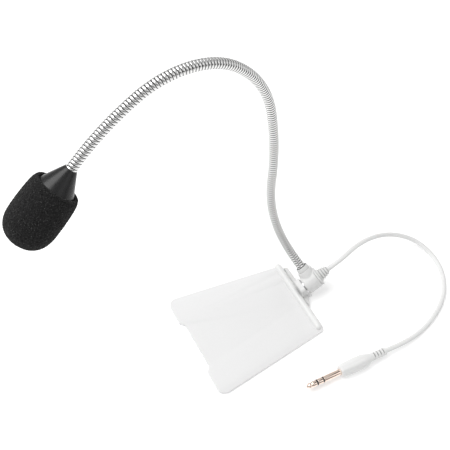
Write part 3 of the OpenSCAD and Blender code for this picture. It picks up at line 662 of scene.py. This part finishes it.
def cut_cells(points, size, seed):
    """Nearest and second nearest distance, in cells, from each point to a jittered lattice of cell
    centres: one centre in each cube of side `size`, moved by three fixed pseudo-random fractions."""
    place = points / size
    cube = np.floor(place)
    nearest = np.full(points.shape[:-1], 9.0)
    second = nearest.copy()
    for step in np.ndindex(3, 3, 3):
        corner = cube + (np.array(step) - 1)
        jitter = np.stack([np.sin(corner @ np.array(w) + seed) * 43758.5453 % 1 for w in (
            (12.99, 78.23, 37.72), (39.35, 11.14, 83.16), (73.16, 52.24, 9.15))], axis=-1)
        away = np.linalg.norm(corner + jitter - place, axis=-1)
        second = np.minimum(second, np.maximum(nearest, away))
        nearest = np.minimum(nearest, away)
    return nearest, second


foam_points = turned(foam_profile, head_origin, head_axis, foam_columns)
along_foam = np.gradient(foam_points, axis=0)
round_foam = np.roll(foam_points, -1, axis=1) - np.roll(foam_points, 1, axis=1)
outward = np.cross(round_foam, along_foam)
outward /= np.linalg.norm(outward, axis=2, keepdims=True)
coarse_size, fine_size = 1.4, 0.7
coarse_depth, fine_depth = 0.20, 0.14
coarse, coarse_next = cut_cells(foam_points, coarse_size * MM, 3.0)
fine, fine_next = cut_cells(foam_points, fine_size * MM, 11.0)
coarse_wall = np.clip(1 - (coarse_next - coarse) / 0.45, 0, 1)
fine_wall = np.clip(1 - (fine_next - fine) / 0.5, 0, 1)
pit = coarse_depth * (1 - coarse_wall) + fine_depth * (1 - fine_wall)
foam_points = foam_points - outward * (pit * MM)[..., None]

foam_black, tree, shader = finish("foam_charcoal", (0.035, 0.035, 0.036), 0.95, specular=0.2, sheen=0.04)
ramp = grain(tree, shader, 1500.0, ((0.21, 0.21, 0.208), (0.014, 0.014, 0.014)), (0.85, 1.0), 0.9, 0.00025,
             kind="ShaderNodeTexVoronoi")
ramp.color_ramp.elements[0].position = 0.15
ramp.color_ramp.elements[1].position = 0.75
# The near-black mixed into the marked cell pits is painted shade.
tint_marked(tree, shader, ramp, "cell_pit_shade", (0.006, 0.006, 0.006))
foam = make_piece("foam_windscreen", foam_black, skin(foam_points), crease=180)
# Marks the pits between the cell walls for the painted shade.
mark_points(foam, "cell_pit_shade", np.append(1 - np.maximum(coarse_wall, 0.7 * fine_wall).ravel(), [0.5, 0.5]))
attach(foam, "head")
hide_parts("windscreen")


# ---------------------------------------------------------------- inner parts
# What holds it together out of sight: steel screws, washer and crimped ferrules, the brass insert, the
# screened lead, and the capsule with its boot, felt, board and grille.


def dress(material, *nodes):
    """Gives CAD nodes that keep their own shape a finish in place of their plain one."""
    for node in nodes:
        slots = frame["nodes"][node].data.materials
        slots.clear()
        slots.append(material)


steel, tree, shader = finish("turned_steel", (0.6, 0.6, 0.61), 0.3, metallic=1.0)
grain(tree, shader, 2500.0, ((0.5, 0.5, 0.51), (0.68, 0.68, 0.69)), (0.22, 0.4), 0.15, 0.00002)
dress(steel, "plate_screws", "pivot_screw", "friction_washer", "lower_ferrule", "upper_ferrule", "capsule")
brass, tree, shader = finish("knurled_brass", (0.72, 0.52, 0.24), 0.35, metallic=1.0)
grain(tree, shader, 2500.0, ((0.62, 0.44, 0.2), (0.8, 0.6, 0.3)), (0.28, 0.45), 0.2, 0.00003)
dress(brass, "pivot_insert")
lead_grey, tree, shader = finish("lead_jacket", (0.05, 0.05, 0.052), 0.5)
grain(tree, shader, 1500.0, ((0.04, 0.04, 0.042), (0.065, 0.065, 0.068)), (0.45, 0.6), 0.12, 0.00003)
dress(lead_grey, "barrel_lead", *(f"neck_lead_{k}" for k in range(1, 7)))
dress(seal_black, "capsule_boot")
dress(housing_black, "grille_cap")
dress(jacket_white, "cord_tail")
felt_black, tree, shader = finish("capsule_felt_fibre", (0.02, 0.02, 0.02), 0.95, sheen=0.3)
grain(tree, shader, 5000.0, ((0.01, 0.01, 0.01), (0.04, 0.04, 0.04)), (0.85, 1.0), 0.6, 0.0001)
dress(felt_black, "capsule_felt")
board_green, tree, shader = finish("board_green", (0.03, 0.18, 0.08), 0.4)
grain(tree, shader, 1800.0, ((0.02, 0.14, 0.06), (0.05, 0.22, 0.1)), (0.35, 0.5), 0.15, 0.00002)
dress(board_green, "capsule_board")
wire_red, tree, shader = finish("wire_red", (0.45, 0.03, 0.02), 0.45)
grain(tree, shader, 2500.0, ((0.38, 0.025, 0.02), (0.5, 0.04, 0.03)), (0.4, 0.5), 0.1, 0.00002)
dress(wire_red, "capsule_wires")


# ---------------------------------------------------------------- floor and light
# Plain white table, a broad soft light above the notched end, and an even white surround. A low dark strip
# along the near side and a small dark panel overhead draw lines along the polished parts.

floor_mesh = bpy.data.meshes.new("floor")
floor_mesh.from_pydata([(-2, -2, 0), (2, -2, 0), (2, 2, 0), (-2, 2, 0)], [], [(0, 1, 2, 3)])
floor = bpy.data.objects.new("floor", floor_mesh)
bpy.context.scene.collection.objects.link(floor)
table_white, tree, shader = finish("table_white", (0.97, 0.97, 0.97), 0.7, specular=0.2)
shader.inputs["Emission Color"].default_value = (1.0, 1.0, 1.0, 1.0)
shader.inputs["Emission Strength"].default_value = 0.2
floor_mesh.materials.append(table_white)

surround = bpy.data.worlds.new("surround")
bpy.context.scene.world = surround
surround.use_nodes = True
sky = surround.node_tree
backing = next(n for n in sky.nodes if n.type == "BACKGROUND")
backing.inputs["Strength"].default_value = 0.6
outlook = sky.nodes.new("ShaderNodeTexCoord")


def card_edge(towards, stops):
    """Grey level over the surround: the cosine of the angle to `towards` read through a ramp."""
    facing = sky.nodes.new("ShaderNodeVectorMath")
    facing.operation = "DOT_PRODUCT"
    facing.inputs[1].default_value = towards
    ramp = sky.nodes.new("ShaderNodeValToRGB")
    while len(ramp.color_ramp.elements) < len(stops):
        ramp.color_ramp.elements.new(1.0)
    for element, (position, level) in zip(ramp.color_ramp.elements, stops):
        element.position = position
        element.color = (level, level, level, 1.0)
    sky.links.new(outlook.outputs["Generated"], facing.inputs[0])
    sky.links.new(facing.outputs["Value"], ramp.inputs["Fac"])
    return ramp.outputs["Color"]


def combine(how, first, second):
    """Two grey levels put together by one blend."""
    blend = sky.nodes.new("ShaderNodeMix")
    blend.data_type = "RGBA"
    blend.blend_type = how
    blend.inputs["Factor"].default_value = 1.0
    sky.links.new(first, blend.inputs["A"])
    sky.links.new(second, blend.inputs["B"])
    return blend.outputs["Result"]


strip = combine("LIGHTEN", card_edge((0, 0, 1), ((0.02, 1), (0.06, 0.04), (0.36, 0.04), (0.44, 1))),
                card_edge((0, -1, 0), ((0.66, 1), (0.76, 0.04))))
panel = card_edge((0.5, 0.0, 0.866), ((0.96, 1), (0.985, 0.05)))
sky.links.new(combine("MULTIPLY", strip, panel), backing.inputs["Color"])
bpy.context.scene.view_settings.view_transform = "Standard"


def soft_light(name, place, aim, size, power):
    """Square light panel at one point, facing another."""
    data = bpy.data.lights.new(name, "AREA")
    data.shape = "SQUARE"
    data.size = size
    data.energy = power
    panel = bpy.data.objects.new(name, data)
    facing = (Vector(aim) - Vector(place)).to_track_quat("-Z", "Y")
    panel.matrix_world = Matrix.Translation(place) @ facing.to_matrix().to_4x4()
    bpy.context.scene.collection.objects.link(panel)


soft_light("key_light", (-0.35, 0.25, 0.85), (0.0, 0.0, 0.05), 0.7, 6.6)
soft_light("fill_light", (0.55, -0.5, 0.6), (0.0, 0.0, 0.05), 0.6, 0.7)
